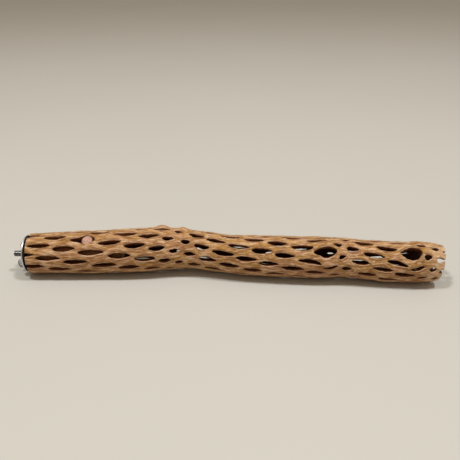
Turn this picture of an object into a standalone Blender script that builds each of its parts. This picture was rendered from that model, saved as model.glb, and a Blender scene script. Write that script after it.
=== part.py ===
"""A perch made from one length of cholla cactus skeleton, with the M6 stud, rubber pad, washer and
wing nut that hold it to the bars of a cage.

The stem lies along X, its hardware at -X and its free end at +X, on the plane z = 0. Sizes are in
millimetres and angles in degrees until a point is made, which is in metres. A place on the stem is
its distance along from the sawn end, and its turn round the axis: 0 faces -Y, 90 faces +Z.
"""

import math

import bmesh
import bpy
import numpy as np
from mathutils import Matrix, Vector

MM = 0.001
GAP = 0.3

# The stem: (along, sideways, lift, radius). Sideways is where the axis bends in the plane it lies on,
# and lift is how far the underside is above that plane; where it is negative the wood is worn flat.
STEM_LENGTH = 398.3
STATIONS = [
    (-30, 0.0, 0.3, 19.6),
    (0, 0.0, 0.2, 20.0),
    (30, 0.0, -0.1, 20.8),
    (62, 0.0, -0.9, 21.6),
    (100, 0.0, 0.1, 22.0),
    (118, 0.6, 0.3, 22.1),
    (137, 2.2, 1.0, 21.0),
    (153, 2.0, 2.0, 20.0),
    (173, -1.5, 1.7, 19.4),
    (194, -6.4, 1.0, 19.4),
    (218, -10.0, 0.3, 20.0),
    (255, -14.2, 0.2, 20.5),
    (282, -16.4, 0.6, 20.4),
    (305, -17.7, 1.6, 19.5),
    (324, -20.6, 1.0, 19.4),
    (352, -23.8, -0.9, 20.0),
    (377, -25.6, -0.2, 19.9),
    (390, -25.6, 0.4, 18.9),
    (400, -25.2, 1.4, 17.4),
    (430, -24.0, 2.0, 15.0),
]
X_ORIGIN = 192.35
Y_ORIGIN = -10.85

# The free end is sawn a little askew: STEM_LENGTH is at its middle, and the cut runs out by these shares
# of the distance from there towards +Y and +Z
END_LEAN_Y = 0.15
END_LEAN_Z = 0.13

# The hollow down the middle: (along, radius). Round the plug it is reamed straight and to one size, and
# HOLLOW_CENTRING says how far it follows the hardware's axis (1) or the stem's own (0).
AXIS_HEIGHT = 20.2
PLUG_RADIUS = 13.0
PLUG_LENGTH = 90.0
REAMED_RADIUS = PLUG_RADIUS + 0.6
REAMED_LENGTH = PLUG_LENGTH + 3.0
HOLLOW_CENTRING = [(-30, 1), (PLUG_LENGTH, 1), (REAMED_LENGTH, 1), (115, 0.4), (135, 0), (430, 0)]
HOLLOW = [
    (-30, REAMED_RADIUS),
    (PLUG_LENGTH, REAMED_RADIUS),
    (REAMED_LENGTH, REAMED_RADIUS),
    (110, 15.0),
    (200, 14.0),
    (260, 14.6),
    (310, 13.8),
    (370, 14.0),
    (400, 12.6),
    (430, 10.5),
]

# The net: 11 rows of long holes that wind round the stem, staggered so that one full turn moves
# ROW_SHIFT holes along. Pitches are from hole to hole in a row, short where the stem has a knot.
ROWS = 11
ROW_SHIFT = 6
FIRST_HOLE = -27.5
PITCHES = [26.5, 26.5, 26.2, 27.3, 26.2, 21.8, 15.5, 16.5, 17.4, 23.6, 23.5, 22.0, 24.0, 24.0]
PITCHES += [13.0, 19.0, 22.5, 22.0, 13.0, 13.5, 13.5, 13.5, 13.5]
ROW_TURNS = [(-30, 102), (0, 88.7), (127, 31.8), (150, 18.5), (174, 5), (271, -46), (329, -86)]
ROW_TURNS += [(372, -115), (400, -133), (430, -152)]
# How far the holes on the upper side sit along from those on the lower side, half each way
LEANS = [(-30, 2.5), (140, 3), (170, 6), (290, 6), (312, 3.5), (430, 3)]
LEAN_MIDDLE_TURN = 25.0
KNOTS = [(149, 11), (305, 9), (385, 9)]
# The side where the holes are widest. On the other, some of a knot's holes have grown over
OPEN_TURN = 31.0
KNOT_SOLID_ABOVE = 0.4
KNOT_SOLID_FROM = 0.45

# One hole, as shares of the pitch and of the row spacing, with how much one hole differs from the next
HOLE_HALF_LENGTH = 0.43
HOLE_LENGTH_VARIES = 0.07
HOLE_HALF_WIDTH = 0.18
HOLE_WIDTH_VARIES = 0.16
HOLE_FAR_NARROW = 0.35
HOLE_PLACE_VARIES = 0.03
HOLE_TAPER_VARIES = 0.25
HOLE_SLANT = 0.06
HOLE_KNOT_SHRINK = 0.46
HOLE_KNOT_NARROW = 0.1
HOLE_SIDES = 10
# How a hole is turned against its winding row, in rows across for each hole along: (along, tilt). It
# leaves the holes nearly straight along the stem
HOLE_TILTS = [(-30, -0.38), (100, -0.38), (140, -0.3), (174, -0.25), (215, -0.26), (260, -0.3)]
HOLE_TILTS += [(300, -0.38), (340, -0.3), (430, -0.28)]
HOLE_TILT_VARIES = 0.07
BRIDGE_HALF = 0.24
BRIDGE_STRAYS_ALONG = 0.035
BRIDGE_STRAYS_ROUND = 0.0525

# Strands are round-backed: their edges at a hole lie lower than their backs
STRAND_DROP_OUTSIDE = 1.2
STRAND_DROP_INSIDE = 0.9

# Where side branches broke off: (along, turn, spread of the net round the stem, reach, raised lip), and
# how much more the hole there is turned against its row, tapers towards the sawn end, and is widened
BRANCH_SCARS = [
    (286.5, 38.0, 0.9, 10.0, 0.7, -0.15, 0.5, 0.7),
    (364.5, 50.0, 0.9, 10.0, 1.2, -0.2, 0.25, 0.7),
]
SCAR_LENGTHENS = 0.2
SCAR_LIP_WIDTH = 4.0
# Low swellings: (along, turn, height, reach)
SWELLINGS = [(130, 120, 2.9, 6.5), (151, 112, 2.1, 5.0), (384, 30, 0.8, 12.0)]

# The peg that locks the plug, let in from the upper front
PEG_RADIUS = 5.0
PEG_ALONG = 58.9
PEG_TURN = 66.0
PEG_OUTER = 20.8
PEG_INNER = -8.0
PEG_EDGE = 0.5
PEG_DRILL_FROM = 11.0
PEG_DRILL_TO = 31.0

# The hardware, on one straight axis and outwards from the sawn end
PAD_RADIUS = 18.5
PAD_THICK = 2.0
PAD_EDGE = 0.6
WASHER_RADIUS = 18.0
WASHER_THICK = 1.2
WASHER_EDGE = 0.25
HARDWARE_HOLE = 3.3
STUD_RADIUS = 3.0
STUD_PROUD = 14.6
STUD_IN_PLUG = 38.0
STUD_POINT_LENGTH = 3.0
STUD_POINT_RADIUS = 0.8
STUD_CHAMFER = 0.8
NUT_HEIGHT = 5.0
NUT_TURNED = 50.0
NUT_BASE_RADIUS = 6.4
NUT_BASE_HEIGHT = 1.2
NUT_TOP_RADIUS = 5.2
NUT_EDGE = 0.5
WING_THICK = 2.0
WING_EDGE = 0.35
# One wing's outline: (height above the nut's base, distance from the axis)
WING_OUTLINE = [
    (1.0, 4.4),
    (0.9, 8.8),
    (1.4, 12.4),
    (3.2, 14.6),
    (5.4, 13.8),
    (7.2, 11.4),
    (8.0, 9.0),
    (7.5, 7.0),
    (5.8, 5.6),
    (4.2, 4.4),
]
ROUND_SIDES = 32
RING_SIDES = 48
STUD_SIDES = 24

# How far a cutter runs past the face it opens, and past the stem on every side
OVERCUT = 2.0
SAW_REACH = 80.0


def clear_scene():
    """Removes what the scene holds."""
    for old in list(bpy.data.objects):
        bpy.data.objects.remove(old, do_unlink=True)


def new_collection(name, hidden=False):
    collection = bpy.data.collections.new(name)
    bpy.context.scene.collection.children.link(collection)
    collection.hide_render = hidden
    return collection


def material(name, colour, roughness, metallic=0.0):
    """A plain Principled material."""
    made = bpy.data.materials.new(name)
    made.use_nodes = True
    shader = made.node_tree.nodes["Principled BSDF"]
    shader.inputs["Base Color"].default_value = (*colour, 1.0)
    shader.inputs["Roughness"].default_value = roughness
    shader.inputs["Metallic"].default_value = metallic
    made.diffuse_color = (*colour, 1.0)
    return made


def smooth_value(place, table, column=1):
    """A smooth curve through one column of a table whose first column is the distance along the stem. It
    is a cubic between two rows; its slope at a row is the harmonic mean of those on either side, and
    level at a crest, so that it never passes the values it runs between."""
    knots = np.array([row[0] for row in table], float)
    values = np.array([row[column] for row in table], float)
    rises = np.diff(values) / np.diff(knots)
    before, after = rises[:-1], rises[1:]
    both = before * after > 0.0
    inner = np.where(both, 2.0 * before * after / np.where(both, before + after, 1.0), 0.0)
    slopes = np.concatenate([rises[:1], inner, rises[-1:]])
    left = np.clip(np.searchsorted(knots, place) - 1, 0, len(knots) - 2)
    step = knots[left + 1] - knots[left]
    s = np.clip((place - knots[left]) / step, 0.0, 1.0)
    bend = s * s * (3.0 - 2.0 * s)
    start = s * (1.0 - s) ** 2 * step * slopes[left]
    end = s * s * (s - 1.0) * step * slopes[left + 1]
    return values[left] * (1.0 - bend) + values[left + 1] * bend + start + end


def turn_apart(first, second):
    """The difference of two turns in degrees, between -180 and 180."""
    return (first - second + 180.0) % 360.0 - 180.0


def stem_radius(place, turn):
    """The radius over the strands' backs: the stem's own, its swellings and the lips of its scars."""
    radius = smooth_value(place, STATIONS, 3)
    round_mm = np.radians(1.0) * radius
    for along, at_turn, height, reach in SWELLINGS:
        away = np.hypot(place - along, turn_apart(turn, at_turn) * round_mm)
        radius = radius + height * np.exp(-((away / reach) ** 2))
    for along, at_turn, _, reach, lip, _, _, _ in BRANCH_SCARS:
        away = np.hypot(place - along, turn_apart(turn, at_turn) * round_mm)
        radius = radius + lip * np.exp(-(((away - reach) / SCAR_LIP_WIDTH) ** 2))
    return radius


def stem_point(place, turn, radius, centring=0.0):
    """The world point, in metres, at this distance along, turn and radius, measured from the stem's own
    axis, or from the hardware's straight one where centring is 1."""
    angle = np.radians(turn)
    middle_y = smooth_value(place, STATIONS, 1) * (1.0 - centring)
    middle_z = smooth_value(place, STATIONS, 3) + smooth_value(place, STATIONS, 2)
    middle_z = middle_z * (1.0 - centring) + AXIS_HEIGHT * centring
    y = middle_y - radius * np.cos(angle)
    z = middle_z + radius * np.sin(angle)
    return np.stack([place - X_ORIGIN, y - Y_ORIGIN, z], axis=-1) * MM


def net_place(phase, row):
    """(along, turn) of a place in the net, given in holes along a row and in rows round the stem. Rows
    wind with ROW_TURNS and lean with LEANS, and the net is spread apart round each branch scar."""
    starts = FIRST_HOLE + np.concatenate([[0.0], np.cumsum(PITCHES)])
    straight = np.interp(phase, np.arange(len(starts)) - 1.0, starts)
    turn = smooth_value(straight, ROW_TURNS) - 360.0 / ROWS * row
    lean = smooth_value(straight, LEANS)
    along = straight + lean * np.sin(np.radians(turn - LEAN_MIDDLE_TURN))
    turn = smooth_value(along, ROW_TURNS) - 360.0 / ROWS * row
    round_mm = np.radians(1.0) * smooth_value(along, STATIONS, 3)
    for at, at_turn, spread, reach, _, _, _, _ in BRANCH_SCARS:
        off_turn = turn_apart(turn, at_turn)
        near = np.exp(-((np.hypot(along - at, off_turn * round_mm) / reach) ** 2))
        turn = turn + spread * off_turn * near
    return along, turn


def knottiness(along):
    """1 in the middle of a knot, 0 away from all of them."""
    return sum(np.exp(-(((along - at) / reach) ** 2)) for at, reach in KNOTS)


def hole_form(along, turn, tilt_by, taper_by):
    """What the place of a hole makes of it: its tilt against its row, its taper, and its width and
    length as shares. The width is least on the side that faces away from OPEN_TURN."""
    tilt = smooth_value(along, HOLE_TILTS) + HOLE_TILT_VARIES * tilt_by
    taper = HOLE_TAPER_VARIES * taper_by
    width = 1.0 - HOLE_FAR_NARROW * (0.5 - 0.5 * np.cos(np.radians(turn - OPEN_TURN)))
    length = 1.0
    round_mm = np.radians(1.0) * smooth_value(along, STATIONS, 3)
    for at, at_turn, _, reach, _, more_tilt, more_taper, more_width in BRANCH_SCARS:
        near = np.exp(-((np.hypot(along - at, turn_apart(turn, at_turn) * round_mm) / reach) ** 2))
        tilt = tilt + more_tilt * near
        taper = taper + more_taper * near
        width = width * (1.0 + more_width * near)
        length = length * (1.0 + SCAR_LENGTHENS * near)
    return tilt, taper, width, length


def same_cell(cell, row):
    """The name of a cell with its row brought into 0 to ROWS - 1: one turn is ROW_SHIFT cells along."""
    turns = math.floor(row / ROWS)
    return cell - ROW_SHIFT * turns, row - ROWS * turns


def net_cells():
    """The cells of the net as (corner places, hole rim places or None), each place (phase, row).

    A cell is a hexagon, long in the stem's direction. Two short bridges part it from the next holes
    of its row, and four long strands from the holes of the rows beside it. Corners are shared, and
    each wanders a little, always by the same amount.
    """
    chance = np.random.default_rng(11)
    step = ROW_SHIFT / ROWS
    below = 5
    count = len(PITCHES) + ROW_SHIFT + 2
    stray = chance.uniform(-1.0, 1.0, (count + 2 * below, ROWS, 2, 2))
    shape = chance.uniform(-1.0, 1.0, (count + 2 * below, ROWS, 4))
    tilts = chance.uniform(-1.0, 1.0, (count + 2 * below, ROWS))
    first_phase, last_phase = -0.8, len(PITCHES) - 2.2

    def corner(cell, row, side):
        """The bridge end after a cell, on the side of the next row (1) or of the row before (-1)."""
        at_cell, at_row = same_cell(cell, row)
        along, around = stray[at_cell + below, at_row, (side + 1) // 2]
        phase = cell - step * row + 0.5 + BRIDGE_STRAYS_ALONG * along
        return (phase, row + side * BRIDGE_HALF + BRIDGE_STRAYS_ROUND * around)

    cells = []
    for row in range(ROWS):
        for cell in range(1 - below, count):
            phase = cell - step * row
            if not first_phase < phase < last_phase:
                continue
            corners = [
                (("low", *same_cell(cell, row)), corner(cell, row, -1)),
                (("high", *same_cell(cell, row)), corner(cell, row, 1)),
                (("low", *same_cell(cell, row + 1)), corner(cell, row + 1, -1)),
                (("high", *same_cell(cell - 1, row)), corner(cell - 1, row, 1)),
                (("low", *same_cell(cell - 1, row)), corner(cell - 1, row, -1)),
                (("high", *same_cell(cell - 1, row - 1)), corner(cell - 1, row - 1, 1)),
            ]
            long_by, wide_by, off, solid = shape[cell + below, row]
            along, turn = net_place(phase, row)
            knot = float(knottiness(along))
            faces_away = abs(turn_apart(turn, OPEN_TURN)) > 90.0
            rim = None
            if not (faces_away and knot > KNOT_SOLID_FROM and solid > KNOT_SOLID_ABOVE):
                half_long = HOLE_HALF_LENGTH * (1.0 - HOLE_KNOT_SHRINK * knot)
                half_long *= 1.0 + HOLE_LENGTH_VARIES * long_by
                half_wide = HOLE_HALF_WIDTH * (1.0 - HOLE_KNOT_NARROW * knot)
                half_wide *= 1.0 + HOLE_WIDTH_VARIES * wide_by
                tilt, taper, width, length = hole_form(along, turn, tilts[cell + below, row], off)
                half_wide *= width
                half_long *= length
                angles = np.arange(HOLE_SIDES) * 2.0 * np.pi / HOLE_SIDES
                slant = HOLE_SLANT * np.sin(angles) * np.cos(angles)
                phases = phase + half_long * np.cos(angles) + HOLE_PLACE_VARIES * off - slant
                rows = row + half_wide * np.sin(angles) * (1.0 + taper * np.cos(angles))
                rim = list(zip(phases, rows + tilt * half_long * np.cos(angles)))
            cells.append((corners, (phase, row), rim))
    return cells


def net_faces():
    """(places, backs, faces) of the net as one sheet: places are (phase, row), backs says which are on a
    strand's back and not at a hole's rim, and faces are loops of places."""
    places, backs, faces, known = [], [], [], {}

    def add(place, back):
        places.append(place)
        backs.append(back)
        return len(places) - 1

    for corners, middle, rim in net_cells():
        c = []
        for name, place in corners:
            if name not in known:
                known[name] = add(place, True)
            c.append(known[name])
        if rim is None:
            hub = add(middle, True)
            faces += [(c[k], c[(k + 1) % 6], hub) for k in range(6)]
            continue
        r = [add(place, False) for place in rim]
        faces += [
            (c[0], c[1], r[0]),
            (c[1], r[1], r[0]),
            (c[1], c[2], r[1]),
            (c[2], r[2], r[1]),
            (c[2], r[3], r[2]),
            (c[2], r[4], r[3]),
            (c[2], c[3], r[4]),
            (c[3], r[5], r[4]),
            (c[3], c[4], r[5]),
            (c[4], r[6], r[5]),
            (c[4], c[5], r[6]),
            (c[5], r[7], r[6]),
            (c[5], r[8], r[7]),
            (c[5], r[9], r[8]),
            (c[5], c[0], r[9]),
            (c[0], r[0], r[9]),
        ]
    return np.array(places), np.array(backs), faces


def mesh_object(name, points, faces, collection):
    mesh = bpy.data.meshes.new(name)
    mesh.from_pydata([tuple(p) for p in points], [], faces)
    mesh.update()
    made = bpy.data.objects.new(name, mesh)
    collection.objects.link(made)
    return made


def box_cutter(name, low, high, collection):
    """A box between two corners in millimetres of the world."""
    mesh = bpy.data.meshes.new(name)
    work = bmesh.new()
    bmesh.ops.create_cube(work, size=1.0)
    size = Vector([b - a for a, b in zip(low, high)]) * MM
    middle = Vector([(a + b) / 2.0 for a, b in zip(low, high)]) * MM
    place = Matrix.Translation(middle) @ Matrix.Diagonal((*size, 1.0))
    bmesh.ops.transform(work, matrix=place, verts=work.verts)
    work.to_mesh(mesh)
    work.free()
    made = bpy.data.objects.new(name, mesh)
    collection.objects.link(made)
    return as_cutter(made)


def rod_mesh(name, radius, length, sides=ROUND_SIDES):
    """A cylinder mesh along its own +Z from the origin, in millimetres."""
    mesh = bpy.data.meshes.new(name)
    work = bmesh.new()
    bmesh.ops.create_cone(
        work, cap_ends=True, segments=sides, radius1=radius * MM, radius2=radius * MM, depth=length * MM
    )
    bmesh.ops.translate(work, vec=(0.0, 0.0, length * MM / 2.0), verts=work.verts)
    work.to_mesh(mesh)
    work.free()
    return mesh


def turned(name, profile, collection, sides=ROUND_SIDES):
    """A body turned about its own Z from a closed profile of (radius, height) points that runs down its
    outer side, in millimetres, with its modifier applied."""
    mesh = bpy.data.meshes.new(name)
    ring = [(radius * MM, 0.0, height * MM) for radius, height in profile]
    mesh.from_pydata(ring, [(k, (k + 1) % len(ring)) for k in range(len(ring))], [])
    made = bpy.data.objects.new(name, mesh)
    collection.objects.link(made)
    screw = made.modifiers.new("turn", "SCREW")
    screw.axis = "Z"
    screw.angle = 2.0 * math.pi
    screw.steps = screw.render_steps = sides
    screw.use_merge_vertices = True
    screw.merge_threshold = 0.00001
    apply_modifiers(made)
    return made


def as_cutter(made):
    made.display_type = "WIRE"
    made.hide_render = True
    return made


def apply_modifiers(made):
    """Replaces the object's mesh by its evaluated one."""
    bpy.context.view_layer.update()
    graph = bpy.context.evaluated_depsgraph_get()
    mesh = bpy.data.meshes.new_from_object(made.evaluated_get(graph))
    made.modifiers.clear()
    made.data = mesh


def cut(made, cutter):
    change = made.modifiers.new("cut " + cutter.name, "BOOLEAN")
    change.operation = "DIFFERENCE"
    change.solver = "EXACT"
    change.object = cutter


def shade(made, angle=35.0):
    made.data.shade_smooth()
    made.data.set_sharp_from_angle(angle=math.radians(angle))


def peg_frame():
    """The matrix that carries +Z onto the peg's direction and the origin onto the plug's axis there."""
    angle = math.radians(PEG_TURN)
    direction = Vector((0.0, -math.cos(angle), math.sin(angle)))
    turn = direction.to_track_quat("Z", "Y").to_matrix().to_4x4()
    middle = Vector((PEG_ALONG - X_ORIGIN, -Y_ORIGIN, AXIS_HEIGHT)) * MM
    return Matrix.Translation(middle) @ turn


def axis_frame(along):
    """The matrix that carries +Z onto -X, with the origin on the hardware's axis at this distance along."""
    turn = Matrix.Rotation(-math.pi / 2.0, 4, "Y")
    return Matrix.Translation(Vector(((along - X_ORIGIN), -Y_ORIGIN, AXIS_HEIGHT)) * MM) @ turn


def make_skeleton(parts, cutters, colour):
    """The net as a wall: its outer sheet over the strands, the same sheet inside, and walls between
    them round every hole. The ends are sawn off, and the underside is worn flat where it rests."""
    places, backs, faces = net_faces()
    along, turn = net_place(places[:, 0], places[:, 1])
    outside = stem_radius(along, turn) - np.where(backs, 0.0, STRAND_DROP_OUTSIDE)
    inside = smooth_value(along, HOLLOW) + np.where(backs, 0.0, STRAND_DROP_INSIDE)
    centring = smooth_value(along, HOLLOW_CENTRING)
    points = np.concatenate([stem_point(along, turn, outside), stem_point(along, turn, inside, centring)])
    count = len(places)
    directed = {(f[k], f[(k + 1) % 3]) for f in faces for k in range(3)}
    open_edges = sorted(edge for edge in directed if edge[::-1] not in directed)
    solid = list(faces)
    solid += [tuple(count + v for v in reversed(f)) for f in faces]
    solid += [(b, a, count + a, count + b) for a, b in open_edges]
    skeleton = mesh_object("cholla_skeleton", points, solid, parts)
    far = SAW_REACH
    start = -X_ORIGIN
    end = STEM_LENGTH - X_ORIGIN
    cut(skeleton, box_cutter("saw_start", (start - far, -far, -far), (start, far, far), cutters))
    saw_end = box_cutter("saw_end", (end, -far, -far), (end + far, far, far), cutters)
    end_middle = stem_point(np.array([STEM_LENGTH]), 0.0, 0.0)[0]
    for vertex in saw_end.data.vertices:
        _, y, z = vertex.co - Vector(end_middle)
        vertex.co.x += END_LEAN_Y * y + END_LEAN_Z * z
    cut(skeleton, saw_end)
    cut(skeleton, box_cutter("worn_under", (start - far, -far, -far), (end + far, far, 0.0), cutters))
    drill_mesh = rod_mesh("peg_drill", PEG_RADIUS + GAP, PEG_DRILL_TO - PEG_DRILL_FROM)
    drill = bpy.data.objects.new("peg_drill", drill_mesh)
    cutters.objects.link(drill)
    drill.matrix_world = peg_frame() @ Matrix.Translation((0.0, 0.0, PEG_DRILL_FROM * MM))
    cut(skeleton, as_cutter(drill))
    skeleton.data.materials.append(colour)
    return skeleton


def make_plug(parts, cutters, colour):
    """The dowel glued into the reamed end, bored for the stud and for the peg."""
    plug = bpy.data.objects.new("core_plug", rod_mesh("core_plug", PLUG_RADIUS, PLUG_LENGTH))
    parts.objects.link(plug)
    plug.matrix_world = axis_frame(PLUG_LENGTH)
    bore_mesh = rod_mesh("stud_bore", HARDWARE_HOLE, STUD_IN_PLUG + OVERCUT)
    stud_bore = bpy.data.objects.new("stud_bore", bore_mesh)
    cutters.objects.link(stud_bore)
    stud_bore.matrix_world = axis_frame(STUD_IN_PLUG + GAP)
    cut(plug, as_cutter(stud_bore))
    bore_mesh = rod_mesh("peg_bore", PEG_RADIUS + GAP, PEG_DRILL_TO - PEG_INNER)
    peg_bore = bpy.data.objects.new("peg_bore", bore_mesh)
    cutters.objects.link(peg_bore)
    peg_bore.matrix_world = peg_frame() @ Matrix.Translation((0.0, 0.0, (PEG_INNER - GAP) * MM))
    cut(plug, as_cutter(peg_bore))
    plug.data.materials.append(colour)
    shade(plug)


def make_peg(parts, colour):
    """The short dowel across the plug, its outer end a little below the strands' backs."""
    length = PEG_OUTER - PEG_INNER
    profile = [
        (0.0, length),
        (PEG_RADIUS - PEG_EDGE, length),
        (PEG_RADIUS, length - PEG_EDGE),
        (PEG_RADIUS, 0.0),
        (0.0, 0.0),
    ]
    peg = turned("cross_peg", profile, parts)
    peg.matrix_world = peg_frame() @ Matrix.Translation((0.0, 0.0, PEG_INNER * MM))
    peg.data.materials.append(colour)
    shade(peg)


def ring_profile(radius, hole, thick, edge):
    """A flat ring's section with its outer edges eased."""
    return [
        (hole, thick),
        (radius - edge, thick),
        (radius, thick - edge),
        (radius, edge),
        (radius - edge, 0.0),
        (hole, 0.0),
    ]


def make_hardware(parts, cutters, rubber, steel):
    """Pad, washer, stud and wing nut, each a gap's width from the next."""
    pad_inner = -GAP
    pad_outer = pad_inner - PAD_THICK
    washer_inner = pad_outer - GAP
    nut_base = washer_inner - WASHER_THICK - GAP
    pad_profile = ring_profile(PAD_RADIUS, HARDWARE_HOLE, PAD_THICK, PAD_EDGE)
    pad = turned("rubber_pad", pad_profile, parts, RING_SIDES)
    pad.matrix_world = axis_frame(pad_inner)
    washer_profile = ring_profile(WASHER_RADIUS, HARDWARE_HOLE, WASHER_THICK, WASHER_EDGE)
    washer = turned("washer", washer_profile, parts, RING_SIDES)
    washer.matrix_world = axis_frame(washer_inner)
    stud_length = STUD_IN_PLUG - pad_outer + STUD_PROUD
    stud_profile = [
        (0.0, stud_length),
        (STUD_RADIUS - STUD_CHAMFER, stud_length),
        (STUD_RADIUS, stud_length - STUD_CHAMFER),
        (STUD_RADIUS, STUD_POINT_LENGTH),
        (STUD_POINT_RADIUS, 0.0),
        (0.0, 0.0),
    ]
    stud = turned("hanger_bolt", stud_profile, parts, STUD_SIDES)
    stud.matrix_world = axis_frame(STUD_IN_PLUG)
    nut = make_wing_nut(parts, cutters)
    nut.matrix_world = axis_frame(nut_base) @ Matrix.Rotation(math.radians(NUT_TURNED), 4, "Z")
    for made, finish in ((pad, rubber), (washer, steel), (stud, steel), (nut, steel)):
        made.data.materials.clear()
        made.data.materials.append(finish)
        shade(made)


def make_wing_nut(parts, cutters):
    """A tapered hub with two rounded wings that stand up and lean outwards, bored through."""
    hub_profile = [
        (0.0, NUT_HEIGHT),
        (NUT_TOP_RADIUS - NUT_EDGE, NUT_HEIGHT),
        (NUT_TOP_RADIUS, NUT_HEIGHT - NUT_EDGE),
        (NUT_BASE_RADIUS, NUT_BASE_HEIGHT),
        (NUT_BASE_RADIUS, 0.0),
        (0.0, 0.0),
    ]
    nut = turned("wing_nut", hub_profile, parts)
    for side in (1.0, -1.0):
        wing = wing_object("wing_up" if side > 0 else "wing_down", side, cutters)
        join = nut.modifiers.new("join wing", "BOOLEAN")
        join.operation = "UNION"
        join.solver = "EXACT"
        join.object = wing
    bore_mesh = rod_mesh("nut_bore", HARDWARE_HOLE, NUT_HEIGHT + 2.0 * OVERCUT, STUD_SIDES)
    bore = bpy.data.objects.new("nut_bore", bore_mesh)
    cutters.objects.link(bore)
    bore.matrix_world = Matrix.Translation((0.0, 0.0, -OVERCUT * MM))
    cut(nut, as_cutter(bore))
    apply_modifiers(nut)
    return nut


def wing_object(name, side, cutters):
    """One wing: its flat outline as a filled curve, given its thickness and made a mesh. It stands in
    the nut's own XZ plane, its free edge away from the base."""
    curve = bpy.data.curves.new(name, "CURVE")
    curve.dimensions = "2D"
    curve.fill_mode = "BOTH"
    curve.extrude = (WING_THICK / 2.0 - WING_EDGE) * MM
    curve.bevel_depth = WING_EDGE * MM
    curve.bevel_resolution = 0
    curve.resolution_u = 3
    spline = curve.splines.new("BEZIER")
    spline.bezier_points.add(len(WING_OUTLINE) - 1)
    for point, (height, radius) in zip(spline.bezier_points, WING_OUTLINE):
        point.co = (radius * MM, height * MM, 0.0)
        point.handle_left_type = point.handle_right_type = "AUTO"
    spline.use_cyclic_u = True
    drawn = bpy.data.objects.new(name + "_outline", curve)
    cutters.objects.link(drawn)
    bpy.context.view_layer.update()
    mesh = bpy.data.meshes.new_from_object(drawn.evaluated_get(bpy.context.evaluated_depsgraph_get()))
    bpy.data.objects.remove(drawn, do_unlink=True)
    stand = Matrix.Rotation(math.pi / 2.0, 4, "X")
    if side < 0:
        stand = Matrix.Rotation(math.pi, 4, "Z") @ stand
    work = bmesh.new()
    work.from_mesh(mesh)
    bmesh.ops.remove_doubles(work, verts=work.verts, dist=1e-6)
    bmesh.ops.transform(work, matrix=stand, verts=work.verts)
    bmesh.ops.recalc_face_normals(work, faces=work.faces)
    work.to_mesh(mesh)
    work.free()
    made = bpy.data.objects.new(name, mesh)
    cutters.objects.link(made)
    return as_cutter(made)


clear_scene()
perch_parts = new_collection("cholla_perch")
perch_cutters = new_collection("cutters", hidden=True)
cholla_wood = material("cholla_wood", (0.36, 0.20, 0.095), 0.62)
dowel_wood = material("dowel_wood", (0.42, 0.25, 0.13), 0.7)
peg_wood = material("peg_wood", (0.50, 0.27, 0.19), 0.65)
black_rubber = material("black_rubber", (0.012, 0.012, 0.012), 0.75)
stainless_steel = material("stainless_steel", (0.62, 0.62, 0.63), 0.28, 1.0)
make_skeleton(perch_parts, perch_cutters, cholla_wood)
make_plug(perch_parts, perch_cutters, dowel_wood)
make_peg(perch_parts, peg_wood)
make_hardware(perch_parts, perch_cutters, black_rubber, stainless_steel)
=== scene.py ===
"""The looks of a cholla wood perch: a length of cactus skeleton with a stud, pad, washer and wing nut.

The stem lies along X on the floor, its hardware at -X. A place on it is given by the distance along from
its sawn end and the turn round its axis, in millimetres and degrees: 0 faces -Y and 90 faces +Z.
"""

import math

import bmesh
import bpy
import numpy as np
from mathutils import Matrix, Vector


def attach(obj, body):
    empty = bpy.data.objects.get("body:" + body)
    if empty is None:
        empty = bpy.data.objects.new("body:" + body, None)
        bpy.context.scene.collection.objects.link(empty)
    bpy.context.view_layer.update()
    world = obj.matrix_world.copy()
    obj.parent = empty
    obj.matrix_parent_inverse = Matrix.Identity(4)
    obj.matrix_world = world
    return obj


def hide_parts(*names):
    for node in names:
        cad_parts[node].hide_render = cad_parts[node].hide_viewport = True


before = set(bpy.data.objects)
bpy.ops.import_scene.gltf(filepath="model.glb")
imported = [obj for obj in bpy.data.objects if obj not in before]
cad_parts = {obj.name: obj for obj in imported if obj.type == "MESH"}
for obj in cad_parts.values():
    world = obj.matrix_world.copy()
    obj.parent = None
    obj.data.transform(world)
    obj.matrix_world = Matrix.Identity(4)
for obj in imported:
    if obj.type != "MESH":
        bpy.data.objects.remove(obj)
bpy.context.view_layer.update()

# The stem: the woody skeleton of a cholla cactus, left when its flesh has dried away. It is one grown
# piece, a tube of strands that part and meet again round long holes, sanded smooth, with three knots and
# the scars of two side branches. Both ends are sawn, and the underside is worn where it lies.
MM = 0.001
STEM_LENGTH = 398.3
# The free end is sawn a little askew: the way its cut faces
SAWN_WAY = (1.0, -0.15, -0.13)
# The frame's origin: its distance along from the sawn end, and sideways from the hardware's axis
X_ORIGIN = 192.35
Y_ORIGIN = -10.85
# (along, sideways, lift of the underside, radius over the strands' backs)
STATIONS = [
    (-30, 0.0, 0.3, 19.6),
    (0, 0.0, 0.2, 20.0),
    (30, 0.0, -0.1, 20.8),
    (62, 0.0, -0.9, 21.6),
    (100, 0.0, 0.1, 22.0),
    (118, 0.6, 0.3, 22.1),
    (137, 2.2, 1.0, 21.0),
    (153, 2.0, 2.0, 20.0),
    (173, -1.5, 1.7, 19.4),
    (194, -6.4, 1.0, 19.4),
    (218, -10.0, 0.3, 20.0),
    (255, -14.2, 0.2, 20.5),
    (282, -16.4, 0.6, 20.4),
    (305, -17.7, 1.6, 19.5),
    (324, -20.6, 1.0, 19.4),
    (352, -23.8, -0.9, 20.0),
    (377, -25.6, -0.2, 19.9),
    (390, -25.6, 0.4, 18.9),
    (400, -25.2, 1.4, 17.4),
    (430, -24.0, 2.0, 15.0),
]
# The dowel's end is reamed smooth, round the hardware's straight axis. From there the hollow goes over
# to the stem's own axis: (along, share of the hardware's axis)
AXIS_HEIGHT = 20.2
REAMED_LENGTH = 95.0
HOLLOW_CENTRING = [(-30, 1), (90, 1), (93, 1), (115, 0.4), (135, 0), (430, 0)]
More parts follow.
